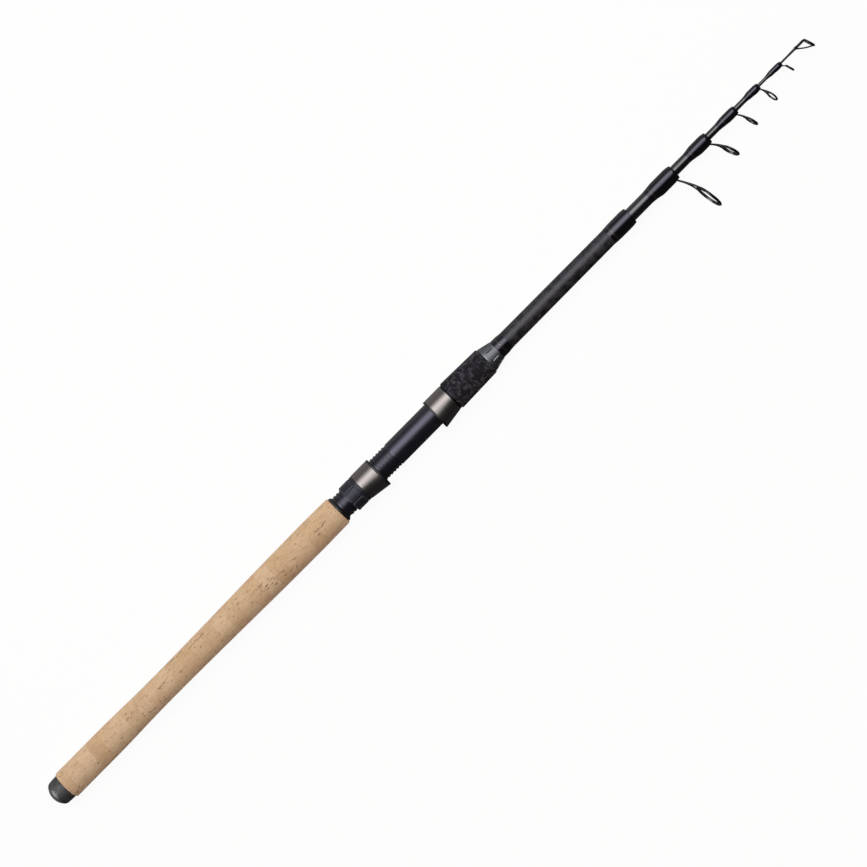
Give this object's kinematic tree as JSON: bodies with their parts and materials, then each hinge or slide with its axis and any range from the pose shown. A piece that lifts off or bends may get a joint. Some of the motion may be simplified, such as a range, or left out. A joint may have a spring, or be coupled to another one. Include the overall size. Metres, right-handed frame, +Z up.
{
  "type": "telescopic fishing rod",
  "caption": "Telescopic fishing rod, closed, with cork rear grip, screw-down reel seat, foam foregrip, nested tapered sections, line guides and tip top.",
  "frame": {"origin": "centre of the flat on the end of the butt cap", "axes": "+X along the rod from the butt to the tip, -Y the way the guides and the reel's foot point, +Z up with the rod lying on its side on a floor at z = -0.0134 m"},
  "size_m": [0.858, 0.0592, 0.0268],
  "materials": {
    "butt_rubber": "satin moulded rubber",
    "plug_plastic": "moulded, satin",
    "cushion_rubber": "matte",
    "sleeve_alloy": "turned",
    "blank_composite": "clear-coated dark grey composite tube",
    "cork": "sanded natural cork with dark pits",
    "seat_plastic": "moulded blue-black, satin",
    "arbor_foam": "plain",
    "nut_plastic": "moulded, satin",
    "hood_metal": "gunmetal, satin brushed",
    "liner_plastic": "moulded, satin",
    "ring_alloy": "dark anodised",
    "grip_foam": "closed-cell foam, black and dark grey mottle",
    "check_alloy": "satin anodised grey",
    "wrap_epoxy": "black thread under gloss epoxy",
    "trim_thread": "dark red thread under gloss epoxy",
    "guide_wire": "near-black plated stainless wire",
    "guide_ceramic": "polished dark grey ceramic"
  },
  "bodies": {
    "handle": {"butt_sleeve": "sleeve_alloy", "butt_blank": "blank_composite", "cork_grip": "cork", "grip_collar": "liner_plastic", "seat_arbors": "arbor_foam", "reel_seat": "seat_plastic", "fixed_hood": "hood_metal", "fixed_hood_liner": "liner_plastic", "trim_ring": "ring_alloy", "foregrip": "grip_foam", "winding_check": "check_alloy", "check_wrap": "wrap_epoxy", "check_trim": "trim_thread", "mouth_wrap": "wrap_epoxy", "mouth_trim": "trim_thread"},
    "hood": {"sliding_hood": "hood_metal", "sliding_hood_liner": "liner_plastic"},
    "nut": {"lock_nut": "nut_plastic"},
    "cushion": {"butt_cushion": "cushion_rubber"},
    "end_cap": {"butt_cap": "butt_rubber", "butt_plug": "plug_plastic"},
    "section_1": {"section_1_blank": "blank_composite", "section_1_wrap": "wrap_epoxy", "section_1_trim": "trim_thread", "guide_1_frame": "guide_wire", "guide_1_ring": "guide_ceramic"},
    "section_2": {"section_2_blank": "blank_composite", "section_2_wrap": "wrap_epoxy", "section_2_trim": "trim_thread", "guide_2_frame": "guide_wire", "guide_2_ring": "guide_ceramic"},
    "section_3": {"section_3_blank": "blank_composite", "section_3_wrap": "wrap_epoxy", "section_3_trim": "trim_thread", "guide_3_frame": "guide_wire", "guide_3_ring": "guide_ceramic"},
    "section_4": {"section_4_blank": "blank_composite", "section_4_wrap": "wrap_epoxy", "section_4_trim": "trim_thread", "guide_4_frame": "guide_wire", "guide_4_ring": "guide_ceramic"},
    "section_5": {"section_5_blank": "blank_composite", "section_5_wrap": "wrap_epoxy", "section_5_trim": "trim_thread", "guide_5_frame": "guide_wire", "guide_5_ring": "guide_ceramic"},
    "tip": {"tip_blank": "blank_composite", "tip_top_tube": "guide_wire", "tip_top_frame": "guide_wire", "tip_top_ring": "guide_ceramic"}
  },
  "joints": [
    {"name": "section_1_slide", "type": "slide", "parent": "handle", "child": "section_1", "axis": [1, 0, 0], "range_m": [0, 0.5519]},
    {"name": "section_2_slide", "type": "slide", "parent": "section_1", "child": "section_2", "axis": [1, 0, 0], "range_m": [0, 0.6115]},
    {"name": "section_3_slide", "type": "slide", "parent": "section_2", "child": "section_3", "axis": [1, 0, 0], "range_m": [0, 0.6599]},
    {"name": "section_4_slide", "type": "slide", "parent": "section_3", "child": "section_4", "axis": [1, 0, 0], "range_m": [0, 0.7015]},
    {"name": "section_5_slide", "type": "slide", "parent": "section_4", "child": "section_5", "axis": [1, 0, 0], "range_m": [0, 0.7329]},
    {"name": "tip_slide", "type": "slide", "parent": "section_5", "child": "tip", "axis": [1, 0, 0], "range_m": [0, 0.7635]},
    {"name": "hood_slide", "type": "slide", "parent": "handle", "child": "hood", "axis": [1, 0, 0], "range_m": [-0.0081, 0.0311]},
    {"name": "nut_turn", "type": "hinge", "parent": "hood", "child": "nut", "pos_m": [0.3447, 0, 0], "axis": [1, 0, 0], "range_deg": [-900, 3480]},
    {"name": "cushion_slide", "type": "slide", "parent": "handle", "child": "cushion", "axis": [1, 0, 0], "range_m": [-0.0111, 0]},
    {"name": "cap_turn", "type": "hinge", "parent": "cushion", "child": "end_cap", "pos_m": [0.008, 0, 0], "axis": [1, 0, 0], "range_deg": [-1980, 0]}
  ],
  "couplings": [
    {"joint": "hood_slide", "follows": "nut_turn", "m_per_rad": 0.0005093},
    {"joint": "cushion_slide", "follows": "cap_turn", "m_per_rad": 0.0003183}
  ]
}
